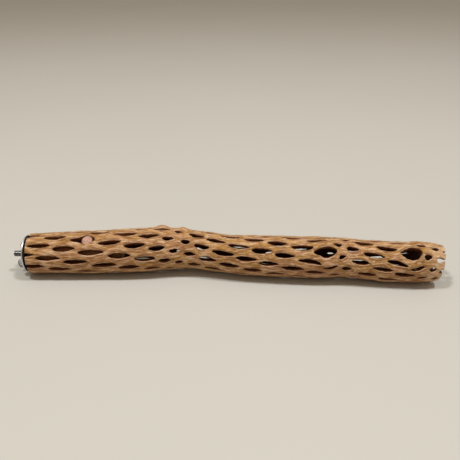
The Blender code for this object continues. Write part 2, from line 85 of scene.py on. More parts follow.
# (along, radius of the hollow)
HOLLOW = [
    (-30, 13.6),
    (90, 13.6),
    (93, 13.6),
    (110, 15.0),
    (200, 14.0),
    (260, 14.6),
    (310, 13.8),
    (370, 14.0),
    (400, 12.6),
    (430, 10.5),
]
# The net of holes: 11 rows that wind round the stem, one full turn moving 6 holes along
ROWS = 11
ROW_SHIFT = 6
# The place of the first hole, and the distance from each hole of a row to the next
FIRST_HOLE = -27.5
PITCHES = [26.5, 26.5, 26.2, 27.3, 26.2, 21.8, 15.5, 16.5, 17.4, 23.6, 23.5, 22.0, 24.0, 24.0]
PITCHES += [13.0, 19.0, 22.5, 22.0, 13.0, 13.5, 13.5, 13.5, 13.5]
# (along, turn of the first row)
ROW_TURNS = [(-30, 102), (0, 88.7), (127, 31.8), (150, 18.5), (174, 5), (271, -46), (329, -86)]
ROW_TURNS += [(372, -115), (400, -133), (430, -152)]
# (along, how far the net leans along the stem, a quarter turn above LEAN_MIDDLE_TURN)
LEANS = [(-30, 2.5), (140, 3), (170, 6), (290, 6), (312, 3.5), (430, 3)]
LEAN_MIDDLE_TURN = 25.0
# The ends of the bridges between holes: how many rows from their own, and stray in (holes, rows)
BRIDGE_SIDE = 0.24
BRIDGE_STRAY = (0.035, 0.0525)
# A hole's half length, in holes along its row, and half width, in rows, and how much each varies
HALF_LONG, LONG_STRAY = 0.43, 0.07
HALF_WIDE, WIDE_STRAY = 0.212, 0.16
TAPER_STRAY = 0.25
# (along, a hole's tilt against its winding row, in rows across for each hole along)
HOLE_TILTS = [(-30, -0.38), (100, -0.38), (140, -0.3), (174, -0.25), (215, -0.26), (260, -0.3)]
HOLE_TILTS += [(300, -0.38), (340, -0.3), (430, -0.28)]
TILT_STRAY = 0.07
# Holes are widest at OPEN_TURN and by the share FAR_NARROWER narrower on the other side
OPEN_TURN = 31.0
FAR_NARROWER = 0.48
# (along, reach) of each knot, and how much shorter and narrower it makes a hole. On the far side a hole
# has grown over where the knot's bell curve is above IN_KNOT and the hole's own number above RARE
KNOTS = [(149, 11), (305, 9), (385, 9)]
KNOT_SHORTER, KNOT_NARROWER = 0.46, 0.1
IN_KNOT, RARE = 0.45, 0.4
# (along, turn, spread round the stem, reach, raised lip), and more (tilt, taper, width) of its hole
BRANCH_SCARS = [
    (286.5, 38.0, 0.9, 10.0, 0.7, -0.15, 0.8, 0.5),
    (364.5, 50.0, 0.9, 10.0, 1.2, -0.2, 0.3, 0.5),
]
SCAR_LONGER = 0.2
LIP_WIDTH = 4.0
# (along, turn, height, reach)
SWELLINGS = [(130, 120, 2.9, 6.5), (151, 112, 2.1, 5.0), (384, 30, 0.8, 12.0)]
# A hole's rim: how pointed its ends are, its shift and slant, and its frayed fibres, in holes and rows
POINTED = 0.22
RIM_SHIFT, RIM_SLANT, FRAYING = 0.03, 0.06, 0.022
# The points from a strand's back over the rim to its inner side, and the roundness of that way
WALL_POINTS = 15
WALL_ACROSS, WALL_DEPTH = 0.42, 0.5
# What changes the radii: wood sanded off, long and short lumps, a rim's swell, a wider, lumpy hollow
SANDED, LUMPS, RIPPLES, RIM_SWELL = 0.25, 0.34, 0.19, 0.3
HOLLOW_WIDER, HOLLOW_LUMPS = 0.5, 0.5
# How far a grown-over hole's dimples go in, outside and inside, as shares of the wall's depth
OUTER_DIMPLE, INNER_DIMPLE = 0.2, 0.16
# The peg that is driven across the stem, and the round hole drilled for it
PEG_RADIUS = 5.0
PEG_ALONG = 58.9
PEG_TURN = 66.0
PEG_HOLE = 5.35
PEG_WAY = np.array([0.0, -math.cos(math.radians(PEG_TURN)), math.sin(math.radians(PEG_TURN))])
PEG_CROSSING = np.array([PEG_ALONG - X_ORIGIN, -Y_ORIGIN, AXIS_HEIGHT])
# Points of a mesh that are no farther apart than this, in metres, become one
TOUCHING = 2e-6


def smooth_value(place, table, column=1):
    """A smooth curve through one column of a table whose first column is the distance along the stem:
    a cubic between rows, whose slope at a row is the harmonic mean of the slopes beside it and level at
    a crest."""
    knots = np.array([row[0] for row in table], float)
    values = np.array([row[column] for row in table], float)
    rises = np.diff(values) / np.diff(knots)
    before, after = rises[:-1], rises[1:]
    both = before * after > 0.0
    inner = np.where(both, 2.0 * before * after / np.where(both, before + after, 1.0), 0.0)
    slopes = np.concatenate([rises[:1], inner, rises[-1:]])
    left = np.clip(np.searchsorted(knots, place) - 1, 0, len(knots) - 2)
    step = knots[left + 1] - knots[left]
    s = np.clip((place - knots[left]) / step, 0.0, 1.0)
    bend = s * s * (3.0 - 2.0 * s)
    start = s * (1.0 - s) ** 2 * step * slopes[left]
    end = s * s * (s - 1.0) * step * slopes[left + 1]
    return values[left] * (1.0 - bend) + values[left + 1] * bend + start + end


def turn_apart(first, second):
    """The difference of two turns, between -180 and 180."""
    return (first - second + 180.0) % 360.0 - 180.0


def unevenness(along, turn, shortest, longest, most_round, seed, terms=14):
    """Gentle lumps between about -1 and 1: a sum of cosine waves whose lengths along lie between shortest
    and longest and whose whole number of waves round the stem is at most most_round."""
    chance = np.random.default_rng(seed)
    total = np.zeros(np.broadcast(along, turn).shape)
    for _ in range(terms):
        per_mm = 2.0 * np.pi / chance.uniform(shortest, longest)
        around = chance.integers(-most_round, most_round + 1)
        total += np.cos(per_mm * along + around * np.radians(turn) + chance.uniform(0.0, 2.0 * np.pi))
    usual_crest = 1.6
    return total / np.sqrt(terms) / usual_crest


def stem_radius(along, turn):
    """The radius over the strands' backs: the stem's own, plus a round hump at each swelling and a
    raised ring round each branch scar."""
    radius = smooth_value(along, STATIONS, 3)
    round_mm = np.radians(1.0) * radius
    for at, at_turn, height, reach in SWELLINGS:
        away = np.hypot(along - at, turn_apart(turn, at_turn) * round_mm)
        radius = radius + height * np.exp(-((away / reach) ** 2))
    for at, at_turn, _, reach, lip, _, _, _ in BRANCH_SCARS:
        away = np.hypot(along - at, turn_apart(turn, at_turn) * round_mm)
        radius = radius + lip * np.exp(-(((away - reach) / LIP_WIDTH) ** 2))
    return radius


def stem_point(along, turn, radius, centring=0.0):
    """The point in metres at this distance along, turn and radius from the stem's own axis, or from the
    hardware's straight one where centring is 1."""
    angle = np.radians(turn)
    middle_y = smooth_value(along, STATIONS, 1) * (1.0 - centring)
    middle_z = smooth_value(along, STATIONS, 3) + smooth_value(along, STATIONS, 2)
    middle_z = middle_z * (1.0 - centring) + AXIS_HEIGHT * centring
    y = middle_y - radius * np.cos(angle)
    z = middle_z + radius * np.sin(angle)
    return np.stack([along - X_ORIGIN, y - Y_ORIGIN, z], axis=-1) * MM


def net_place(phase, row):
    """(along, turn) of a place in the net, given in holes along a row and in rows round the stem. Rows
    wind, lean towards the upper side, and are spread apart round each branch scar by a bell curve."""
    starts = FIRST_HOLE + np.concatenate([[0.0], np.cumsum(PITCHES)])
    straight = np.interp(phase, np.arange(len(starts)) - 1.0, starts)
    turn = smooth_value(straight, ROW_TURNS) - 360.0 / ROWS * row
    lean = smooth_value(straight, LEANS)
    along = straight + lean * np.sin(np.radians(turn - LEAN_MIDDLE_TURN))
    turn = smooth_value(along, ROW_TURNS) - 360.0 / ROWS * row
    round_mm = np.radians(1.0) * smooth_value(along, STATIONS, 3)
    for at, at_turn, spread, reach, _, _, _, _ in BRANCH_SCARS:
        off_turn = turn_apart(turn, at_turn)
        near = np.exp(-((np.hypot(along - at, off_turn * round_mm) / reach) ** 2))
        turn = turn + spread * off_turn * near
    return along, turn


def net_cells():
    """The net's cells as arrays: their middles (phase, row), their six corners, which are the ends of
    the bridges to the next holes, four numbers for each hole's own shape, how far it is in a knot, its
    tilt against the row, its taper, and its width and length as shares, which a branch scar adds to,
    and whether it has grown over."""
    chance = np.random.default_rng(11)
    step = ROW_SHIFT / ROWS
    # Each row is counted from a few cells before its first hole, so that all holes have neighbours
    below = 5
    count = len(PITCHES) + ROW_SHIFT + 2
    stray = chance.uniform(-1.0, 1.0, (count + 2 * below, ROWS, 2, 2))
    shape = chance.uniform(-1.0, 1.0, (count + 2 * below, ROWS, 4))
    tilts = chance.uniform(-1.0, 1.0, (count + 2 * below, ROWS))
    row, cell = np.meshgrid(np.arange(ROWS), np.arange(1 - below, count), indexing="ij")
    phase = cell - step * row
    # Only the cells that reach into the length between the two saw cuts
    used = (phase > -0.8) & (phase < len(PITCHES) - 2.2)
    row, cell, phase = row[used], cell[used], phase[used]

    def bridge_end(at_cell, at_row, side):
        """The bridge end after a cell, on the side of the next row (1) or of the row before (-1)."""
        turns = at_row // ROWS
        own = stray[at_cell - ROW_SHIFT * turns + below, at_row - ROWS * turns, (side + 1) // 2]
        ahead = at_cell - step * at_row + 0.5 + BRIDGE_STRAY[0] * own[:, 0]
        return np.stack([ahead, at_row + side * BRIDGE_SIDE + BRIDGE_STRAY[1] * own[:, 1]], axis=-1)

    corners = [
        bridge_end(cell, row, -1),
        bridge_end(cell, row, 1),
        bridge_end(cell, row + 1, -1),
        bridge_end(cell - 1, row, 1),
        bridge_end(cell - 1, row, -1),
        bridge_end(cell - 1, row - 1, 1),
    ]
    shape = shape[cell + below, row]
    along, turn = net_place(phase, row)
    knot = sum(np.exp(-(((along - at) / reach) ** 2)) for at, reach in KNOTS)
    tilt = smooth_value(along, HOLE_TILTS) + TILT_STRAY * tilts[cell + below, row]
    taper = TAPER_STRAY * shape[:, 2]
    width = 1.0 - FAR_NARROWER * (0.5 - 0.5 * np.cos(np.radians(turn - OPEN_TURN)))
    length = np.ones(width.shape)
    round_mm = np.radians(1.0) * smooth_value(along, STATIONS, 3)
    for at, at_turn, _, reach, _, more_tilt, more_taper, more_width in BRANCH_SCARS:
        near = np.exp(-((np.hypot(along - at, turn_apart(turn, at_turn) * round_mm) / reach) ** 2))
        tilt, taper = tilt + more_tilt * near, taper + more_taper * near
        width, length = width * (1.0 + more_width * near), length * (1.0 + SCAR_LONGER * near)
    far_side = np.abs(turn_apart(turn, OPEN_TURN)) > 90.0
    grown_over = far_side & (knot > IN_KNOT) & (shape[:, 3] > RARE)
    return phase, row, np.stack(corners, axis=1), shape, knot, tilt, taper, width, length, grown_over


def skeleton_patches():
    """Each cell as a grid of points: u runs round its hole and v from the strands' backs over the hole's
    rim and down its wall to the strands' inner sides.

    Seen along the wall, v follows a rounded rectangle, a superellipse in (share of the way from the
    strand's middle to the rim, share of the wall's depth). Round the hole, the rim is an ellipse with
    drawn-out ends. Returns the points, the share across and the share of the depth, both for the finish,
    and which cells' holes have grown over.
    """
    phase, row, corners, shape, *own, grown_over = net_cells()
    long_by, wide_by, off = (shape[:, k, None] for k in range(3))
    knot, tilt, taper_by, width, length = (values[:, None] for values in own)
    # The grid's columns on each side of the six-sided cell: (side, how many, from angle, to angle)
    pieces = [(0, 3, -25, 25), (1, 6, 25, 90), (2, 6, 90, 155)]
    pieces += [(3, 3, 155, 205), (4, 6, 205, 270), (5, 6, 270, 335)]
    side = np.concatenate([np.full(n, k) for k, n, _, _ in pieces])
    share = np.concatenate([np.arange(n) / n for _, n, _, _ in pieces])
    angle = np.radians(np.concatenate([a + (b - a) * np.arange(n) / n for _, n, a, b in pieces]))
    start, end = corners[:, side], corners[:, (side + 1) % 6]
    back = start + (end - start) * share[None, :, None]

    half_long = HALF_LONG * length * (1.0 - KNOT_SHORTER * knot) * (1.0 + LONG_STRAY * long_by)
    half_wide = HALF_WIDE * width * (1.0 - KNOT_NARROWER * knot) * (1.0 + WIDE_STRAY * wide_by)
    taper = 1.0 + taper_by * np.cos(angle)
    # Each rim has a lopsidedness and shallow waves of its own
    lopsided = 1.0 + 0.04 * wide_by * np.sin(2.0 * angle)
    wave = 1.0 + 0.05 * np.sin(3.0 * angle + 9.0 * off) + 0.04 * np.sin(5.0 * angle + 7.0 * long_by)
    slim = np.abs(np.sin(angle)) ** POINTED
    rim_phase = phase[:, None] + half_long * np.cos(angle) * lopsided
    rim_phase += RIM_SHIFT * off - RIM_SLANT * np.sin(angle) * np.cos(angle)
    rim_row = row[:, None] + half_wide * np.sin(angle) * slim * taper * wave
    rim_row += tilt * half_long * np.cos(angle)
    # Frayed fibres make the rim a little ragged
    rim_row += FRAYING * unevenness(*net_place(rim_phase, rim_row), 3.0, 8.0, 40, 6, 30)
    rim = np.stack([rim_phase, rim_row], axis=-1)

    theta = np.linspace(0.0, np.pi, WALL_POINTS)
    across = np.sin(theta) ** WALL_ACROSS
    across[-1] = 0.0
    depth = 0.5 - 0.5 * np.sign(np.cos(theta)) * np.abs(np.cos(theta)) ** WALL_DEPTH
    across = np.broadcast_to(across, (len(phase), len(angle), len(theta))).copy()
    depth = np.broadcast_to(depth, across.shape).copy()
    half = WALL_POINTS // 2
    across[grown_over, :, half + 1] = 1.0
    middle = np.stack([phase, row], axis=-1)[:, None, None, :]
    reach = np.where(grown_over[:, None, None, None], middle, rim[:, :, None, :]) - back[:, :, None, :]
    place = back[:, :, None, :] + reach * across[..., None]
    # A hole that has grown over keeps a dimple on both sides, each closed on a point of its own
    inner_half = np.arange(WALL_POINTS) > half
    dimple = np.where(inner_half, 1.0 - INNER_DIMPLE * across**2, OUTER_DIMPLE * across**2)
    depth = np.where(grown_over[:, None, None], dimple, depth)

    along, turn = net_place(place[..., 0], place[..., 1])
    outer = stem_radius(along, turn) - SANDED
    outer += LUMPS * unevenness(along, turn, 14.0, 60.0, 7, 3)
    outer += RIPPLES * unevenness(along, turn, 4.0, 13.0, 30, 4, 30)
    near_rim = np.exp(-(((across - 0.84) / 0.12) ** 2)) * (depth < 0.3)
    outer += RIM_SWELL * near_rim * ~grown_over[:, None, None]
    hollow = smooth_value(along, HOLLOW) + HOLLOW_WIDER
    hollow += HOLLOW_LUMPS * unevenness(along, turn, 9.0, 30.0, 12, 5) * (along > REAMED_LENGTH)
    radius = outer * (1.0 - depth) + hollow * depth
    points = stem_point(along, turn, radius, smooth_value(along, HOLLOW_CENTRING) * depth)
    return points, across, depth, grown_over


def let_in_peg(points):
    """Wood within 9 mm of the peg's axis is moved outwards from it, so that what was 1.8 mm away or
    less is at the drilled hole's radius and what is 9 mm away stays."""
    hole, reach, nearest = PEG_HOLE * MM, 9.0 * MM, 1.8 * MM
    base = PEG_CROSSING * MM
    from_base = points - base
    height = from_base @ PEG_WAY
    sideways = from_base - height[..., None] * PEG_WAY
    away = np.linalg.norm(sideways, axis=-1)
    moved = hole + (reach - hole) * np.clip((away - nearest) / (reach - nearest), 0.0, 1.0)
    near = (away < reach) & (height > 0.0)
    scale = np.where(near, moved / np.maximum(away, 1e-9), 1.0)
    return base + height[..., None] * PEG_WAY + sideways * scale[..., None]


def grid_faces(count, around, rows):
    """The quads of count patches, each a grid that closes round u and is open along v."""
    patch, u, v = np.meshgrid(np.arange(count), np.arange(around), np.arange(rows - 1), indexing="ij")
    first = patch * around * rows
    here, ahead = first + u * rows + v, first + (u + 1) % around * rows + v
    return np.stack([here, here + 1, ahead + 1, ahead], axis=-1)


def surface(name, points, faces, layers=()):
    """A smooth mesh object from an array of points in metres and an array of quads, with doubles
    merged. Layers are (name, one number for each point), kept for the material."""
    mesh = bpy.data.meshes.new(name)
    mesh.from_pydata(points.reshape(-1, 3).tolist(), [], faces.reshape(-1, faces.shape[-1]).tolist())
    for layer, values in layers:
        made = mesh.attributes.new(layer, "FLOAT", "POINT")
        made.data.foreach_set("value", np.ascontiguousarray(values, dtype=np.float32).ravel())
    work = bmesh.new()
    work.from_mesh(mesh)
    bmesh.ops.remove_doubles(work, verts=work.verts, dist=TOUCHING)
    work.to_mesh(mesh)
    work.free()
    mesh.shade_smooth()
    made = bpy.data.objects.new(name, mesh)
    bpy.context.scene.collection.objects.link(made)
    return made


def saw_off(piece, middle, outwards):
    """Cuts a closed mesh across at a point, square to a direction, fills the cut, and eases its edges by
    insetting the cut faces."""
    work = bmesh.new()
    work.from_mesh(piece.data)
    everything = work.verts[:] + work.edges[:] + work.faces[:]
    outwards = np.asarray(outwards) / np.linalg.norm(outwards)
    ease, inset = 0.35 * MM, 0.45 * MM
    plane = np.asarray(middle) - outwards * ease
    halves = bmesh.ops.bisect_plane(
        work, geom=everything, plane_co=plane, plane_no=outwards, clear_outer=True, dist=1e-7
    )
    edges = [part for part in halves["geom_cut"] if isinstance(part, bmesh.types.BMEdge)]
    filled = bmesh.ops.triangle_fill(work, use_beauty=True, edges=edges, normal=outwards)
    caps = [part for part in filled["geom"] if isinstance(part, bmesh.types.BMFace)]
    bmesh.ops.inset_region(work, faces=caps, thickness=inset, depth=ease, use_even_offset=True)
    work.to_mesh(piece.data)
    work.free()


points, across, depth, grown_over = skeleton_patches()
points = let_in_peg(points)
points[..., 2] = np.maximum(points[..., 2], 0.0)
faces = grid_faces(*points.shape[:3])
# A grown-over hole has no wall between its two dimples
walled = np.ones(faces.shape[:3], bool)
walled[grown_over, :, WALL_POINTS // 2] = False
skeleton = surface("cholla_stem", points, faces[walled], [("across", across), ("depth", depth)])
saw_off(skeleton, stem_point(0.0, 0.0, 0.0), (-1.0, 0.0, 0.0))
saw_off(skeleton, stem_point(STEM_LENGTH, 0.0, 0.0), SAWN_WAY)


class Wire:
    """One output in a material's node tree. Sums and products written with it become Math nodes."""

    def __init__(self, tree, socket):
        self.tree = tree
        self.socket = socket

    def node(self, kind, sockets=(), out=0, stops=None, **settings):
        """A node of any kind in the same tree: its settings and a ramp's stops are set first, then the
        values or links of its sockets, by name or number. Returns its output of that name or number."""
        made = self.tree.nodes.new(kind)
        for name, value in settings.items():
            setattr(made, name, value)
        if stops:
            ramp = made.color_ramp.elements
            while len(ramp) < len(stops):
                ramp.new(0.5)
            for stop, (position, colour) in zip(ramp, stops):
                stop.position = position
                stop.color = (*colour, 1.0)
        for key, value in dict(sockets).items():
            if isinstance(value, Wire):
                self.tree.links.new(value.socket, made.inputs[key])
            else:
                made.inputs[key].default_value = value
        return Wire(self.tree, made.outputs[out])

    def maths(self, operation, *values):
        return self.node("ShaderNodeMath", enumerate(values), operation=operation)

    def __add__(self, other):
        return self.maths("ADD", self, other)

    def __sub__(self, other):
        return self.maths("SUBTRACT", self, other)

    def __rsub__(self, other):
        return self.maths("SUBTRACT", other, self)

    def __mul__(self, other):
        return self.maths("MULTIPLY", self, other)

    __radd__ = __add__
    __rmul__ = __mul__

    def between(self, low, high):
        """0 below low, 1 above high, and a smooth rise between."""
        return self.node(
            "ShaderNodeMapRange", {0: self, 1: low, 2: high}, interpolation_type="SMOOTHSTEP"
        )

    def blend(self, first, second, share=1.0):
        """The first colour where this is 0 and the second where it is 1, times a share."""
        factor = self if share == 1.0 else self * share
        return self.node("ShaderNodeMix", {0: factor, 6: first, 7: second}, out=2, data_type="RGBA")


def finish(name, roughness=0.5, metallic=0.0):
    """A new Principled material, its shader and the wire of its Object coordinates."""
    made = bpy.data.materials.new(name)
    made.use_nodes = True
    shader = made.node_tree.nodes["Principled BSDF"]
    shader.inputs["Roughness"].default_value = roughness
    shader.inputs["Metallic"].default_value = metallic
    place = made.node_tree.nodes.new("ShaderNodeTexCoord")
    return made, shader, Wire(made.node_tree, place.outputs["Object"])


def feed(shader, socket, wire):
    wire.tree.links.new(wire.socket, shader.inputs[socket])


def emboss(shader, height, strength, distance):
    """Bumps as high as distance, in metres, where height is 1."""
    bump = height.node("ShaderNodeBump", {"Strength": strength, "Distance": distance, "Height": height})
    feed(shader, "Normal", bump)


def cholla_finish():
    """Sanded cholla wood: warm tan with yellower and pinker patches. Brown streaks and pale fibres run
    along it, and finer ones along each strand and round its holes. The strands' backs are palest and the
    wood near a hole is browner. The hole's edge has a thin pale line painted on as a highlight of its lit
    lip, and the walls inside and the strands' inner sides are painted dark as shade."""
    made, shader, place = finish("cholla_wood")
    shader.inputs["Specular IOR Level"].default_value = 0.3
    across = place.node("ShaderNodeAttribute", attribute_name="across", out=2)
    depth = place.node("ShaderNodeAttribute", attribute_name="depth", out=2)
    along = place.node("ShaderNodeSeparateXYZ", {0: place}, out=0)

    def streaks(per_metre_along, per_metre_round, detail):
        scaled = place.node(
            "ShaderNodeMapping", {0: place, 3: (per_metre_along, per_metre_round, per_metre_round)}
        )
        noise = {0: scaled, "Scale": 1.0, "Detail": detail, "Roughness": 0.6, "Distortion": 0.4}
        return place.node("ShaderNodeTexNoise", noise)

    patch = streaks(16.0, 38.0, 2.0)
    blotch = streaks(75.0, 130.0, 3.0)
    fibre = streaks(95.0, 520.0, 6.0)
    flow = place.node("ShaderNodeCombineXYZ", {0: along * 85.0, 1: across * 4.5, 2: depth * 9.0})
    lines = place.node("ShaderNodeTexNoise", {0: flow, "Scale": 1.0, "Detail": 5.0, "Roughness": 0.62})
    specks = place.node("ShaderNodeTexNoise", {0: place, "Scale": 620.0, "Detail": 3.0})

    tan = (0.49, 0.242, 0.085, 1.0)
    yellow = (0.49, 0.248, 0.055, 1.0)
    pink = (0.57, 0.315, 0.165, 1.0)
    # pale is the fibres' and sawn faces' own colour, and also the painted highlight along the holes'
    # edges
    pale = (0.86, 0.60, 0.38, 1.0)
    brown = (0.22, 0.08, 0.02, 1.0)
    # red_brown and dark are painted shade, for the holes' walls and the stem's inside
    red_brown = (0.20, 0.052, 0.009, 1.0)
    dark = (0.05, 0.011, 0.003, 1.0)
    colour = patch.between(0.42, 0.6).blend(yellow, tan)
    colour = blotch.between(0.5, 0.66).blend(colour, pink, 0.75)
    colour = across.between(0.3, 0.8).blend(colour, brown, 0.55)
    colour = (1.0 - blotch.between(0.34, 0.48)).blend(colour, brown, 0.5)
    colour = fibre.between(0.51, 0.61).blend(colour, pale, 0.6)
    colour = (1.0 - fibre.between(0.38, 0.48)).blend(colour, brown, 0.62)
    colour = (1.0 - lines.between(0.38, 0.47)).blend(colour, brown, 0.5)
    colour = lines.between(0.54, 0.64).blend(colour, pale, 0.4)
    colour = (1.0 - specks.between(0.3, 0.4)).blend(colour, brown, 0.5)
    # A painted highlight: a thin pale line along each hole's edge and just inside it, standing in for the
    # light its rounded lip catches
    edge = across.between(0.8, 0.92) * (1.0 - depth.between(0.1, 0.18))
    colour = edge.blend(colour, pale, 0.62)
    # Painted shade: the hole's wall is painted red-brown and, deeper down and on the strands' inner
    # sides, near black, for the shade inside the holes and the hollow
    colour = depth.between(0.13, 0.2).blend(colour, red_brown, 0.95)
    colour = depth.between(0.28, 0.7).blend(colour, dark, 0.95)
    # The free end is paler, most of all its sawn faces, whose pores are cut across
    square = place.node("ShaderNodeVectorMath", {0: place, 1: SAWN_WAY}, out=1, operation="DOT_PRODUCT")
    from_end = square - float(np.dot(stem_point(STEM_LENGTH, 0.0, 0.0), SAWN_WAY))
    outside = 1.0 - depth.between(0.1, 0.4)
    colour = (from_end.between(-0.022, -0.001) * outside).blend(colour, pale, 0.45)
    pores = place.node("ShaderNodeTexNoise", {0: place, "Scale": 1400.0, "Detail": 4.0, "Roughness": 0.7})
    sawn = pores.between(0.38, 0.56).blend((0.40, 0.215, 0.095, 1.0), (0.74, 0.51, 0.30, 1.0))
    sawn = blotch.between(0.35, 0.6).blend((0.58, 0.36, 0.19, 1.0), sawn)
    colour = from_end.between(-0.0007, -0.0003).blend(colour, sawn, 0.9)
    feed(shader, "Base Color", colour)
    feed(shader, "Roughness", 0.40 + 0.22 * fibre + 0.3 * depth)
    emboss(shader, fibre * 0.7 + lines * 0.6 + blotch * 0.8 + specks * 0.15, 1.0, 0.0018)
    return made


skeleton.data.materials.append(cholla_finish())
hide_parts("cholla_skeleton")
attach(skeleton, "perch")

# The dowel: a turned length of softwood glued into the reamed end. It carries the stud, and its side
# shows through the stem's first holes.
DOWEL_BROWN, DOWEL_DARK = (0.46, 0.17, 0.06, 1.0), (0.2, 0.062, 0.02, 1.0)


def dowel_finish(name, base, darker, grain_turn=(0.0, 0.0, 0.0)):
    """Turned wood: growth rings as thin bands round the grain's direction, with fine pores along it. The
    tree's middle lies outside the dowel, 12 mm to one side and 35 mm below."""
    made, shader, place = finish(name)
    lie = place.node("ShaderNodeMapping", {0: place, 1: (0.0, -0.012, -0.035), 2: grain_turn})
    rings = place.node(
        "ShaderNodeTexWave",
        {0: lie, "Scale": 240.0, "Distortion": 3.5, "Detail": 3.0, "Detail Scale": 1.5},
        out=1,
        wave_type="RINGS",
        rings_direction="X",
    )
    thin = place.node("ShaderNodeMapping", {0: lie, 3: (60.0, 1400.0, 1400.0)})
    pores = place.node("ShaderNodeTexNoise", {0: thin, "Scale": 1.0, "Detail": 5.0})
    specks = place.node("ShaderNodeTexNoise", {0: place, "Scale": 520.0, "Detail": 3.0})
    colour = rings.between(0.3, 0.9).blend(base, darker, 0.4)
    colour = pores.between(0.5, 0.75).blend(colour, darker, 0.5)
    colour = specks.between(0.5, 0.62).blend(colour, darker, 0.6)
    feed(shader, "Base Color", colour)
    feed(shader, "Roughness", 0.6 + 0.2 * pores)
    emboss(shader, pores + rings * 0.4, 0.4, 0.0003)
    return made


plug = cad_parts["core_plug"]
plug.data.materials.clear()
plug.data.materials.append(dowel_finish("dowel_wood", DOWEL_BROWN, DOWEL_DARK))

# The peg: a short dowel driven across the first one to lock it, cut off just below the stem's back. Only
# its pinkish sawn end shows, domed a little and with its edge broken.
PEG_OUTER = 20.8
PEG_INNER = -8.0
PEG_DOME = 0.35
PEG_EDGE = 0.6
PEG_FOOT_EDGE = 0.4
PEG_PINK, PEG_DARK = (0.58, 0.34, 0.25, 1.0), (0.25, 0.105, 0.07, 1.0)


def turned_points(profile, count):
    """A profile of (radius, height) carried round +Z, as a grid of points that closes on itself."""
    turn = np.linspace(0.0, 2.0 * np.pi, count, endpoint=False)[:, None]
    radius, height = np.asarray(profile, float).T
    return np.stack([radius * np.cos(turn), radius * np.sin(turn), height + 0.0 * turn], axis=-1)


def placed(points, origin, direction):
    """Points in millimetres about +Z moved so that +Z lies along direction and 0 is at origin."""
    axis = np.asarray(direction, float) / np.linalg.norm(direction)
    first = np.cross((0.0, 1.0, 0.0), axis)
    first /= np.linalg.norm(first)
    second = np.cross(axis, first)
    return (np.asarray(origin) + points @ np.stack([first, second, axis])) * MM


def turned_piece(name, profile, count, origin, direction):
    """A closed piece turned from a profile that runs from the top down its outer side, and either starts
    and ends on its axis or comes back up a bore to where it started."""
    grid = placed(turned_points(profile, count), origin, direction)[None]
    return surface(name, grid, grid_faces(1, count, len(profile)))


def eased_corner(radius, height, ease, start, stop):
    """A quarter circle at a profile's corner, from one angle to another, in degrees."""
    angle = np.radians(np.linspace(start, stop, 6))
    return [(radius + ease * math.cos(a), height + ease * math.sin(a)) for a in angle]


peg_length = PEG_OUTER - PEG_INNER
shoulder = peg_length - PEG_DOME - PEG_EDGE
domed = [(r, peg_length - PEG_DOME * (r / PEG_RADIUS) ** 2) for r in (0.0, 1.0, 2.0, 3.0, 4.0)]
sides = [(PEG_RADIUS, height) for height in (24.0, 18.0, 12.0, 6.0)]
foot = eased_corner(PEG_RADIUS - PEG_FOOT_EDGE, PEG_FOOT_EDGE, PEG_FOOT_EDGE, 0, -90)
peg_profile = domed + eased_corner(PEG_RADIUS - PEG_EDGE, shoulder, PEG_EDGE, 70, 0) + sides
peg_profile += foot + [(2.0, 0.0), (0.0, 0.0)]
peg = turned_piece("peg", peg_profile, 64, PEG_CROSSING + PEG_INNER * PEG_WAY, PEG_WAY)
across_stem = (0.0, math.radians(90.0), 0.0)
peg.data.materials.append(dowel_finish("peg_wood", PEG_PINK, PEG_DARK, across_stem))
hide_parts("cross_peg")
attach(peg, "perch")

# The pad: a moulded black rubber ring between the wood's end and the cage, with its edges rounded. It
# sits on the stud, against the stem's sawn end.
PAD_RADIUS = 18.5
PAD_THICK = 2.0
PAD_EDGE = 0.8
HARDWARE_HOLE = 3.3
GAP = 0.3
OUTWARDS = (-1.0, 0.0, 0.0)


def on_axis(along):
    """The point of the hardware's axis at this distance along, in millimetres."""
    return (along - X_ORIGIN, -Y_ORIGIN, AXIS_HEIGHT)


def flat_ring(name, radius, thick, ease, along):
    """A flat ring with rounded edges, turned round the hardware's axis, its inner face this far along."""
    hole = HARDWARE_HOLE + ease
    profile = eased_corner(radius - ease, thick - ease, ease, 90, 0)
    profile += eased_corner(radius - ease, ease, ease, 0, -90)
    profile += eased_corner(hole, ease, ease, -90, -180)
    profile += eased_corner(hole, thick - ease, ease, 180, 90)
    profile += [((radius + HARDWARE_HOLE) / 2.0, thick), profile[0]]
    return turned_piece(name, profile, 96, on_axis(along), OUTWARDS)


def rubber_finish():
    """Matt black rubber with a faint moulded grain and a little dust."""
    made, shader, place = finish("black_rubber")
    shader.inputs["Specular IOR Level"].default_value = 0.25
    grain = place.node("ShaderNodeTexNoise", {0: place, "Scale": 1800.0, "Detail": 3.0})
    dust = place.node("ShaderNodeTexNoise", {0: place, "Scale": 160.0, "Detail": 4.0})
    colour = dust.between(0.5, 0.8).blend((0.004, 0.004, 0.004, 1.0), (0.012, 0.011, 0.010, 1.0))
    feed(shader, "Base Color", colour)
    feed(shader, "Roughness", 0.7 + 0.25 * dust)
    emboss(shader, grain, 0.3, 0.0002)
    return made


pad = flat_ring("pad", PAD_RADIUS, PAD_THICK, PAD_EDGE, -GAP)
pad.data.materials.append(rubber_finish())
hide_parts("rubber_pad")
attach(pad, "perch")

# The washer: a wide stainless washer, stamped, with the fine rings of its finish. It lies loose on the
# stud, outside the pad, and spreads the nut's pressure.
WASHER_RADIUS = 18.0
WASHER_THICK = 1.2
WASHER_EDGE = 0.3


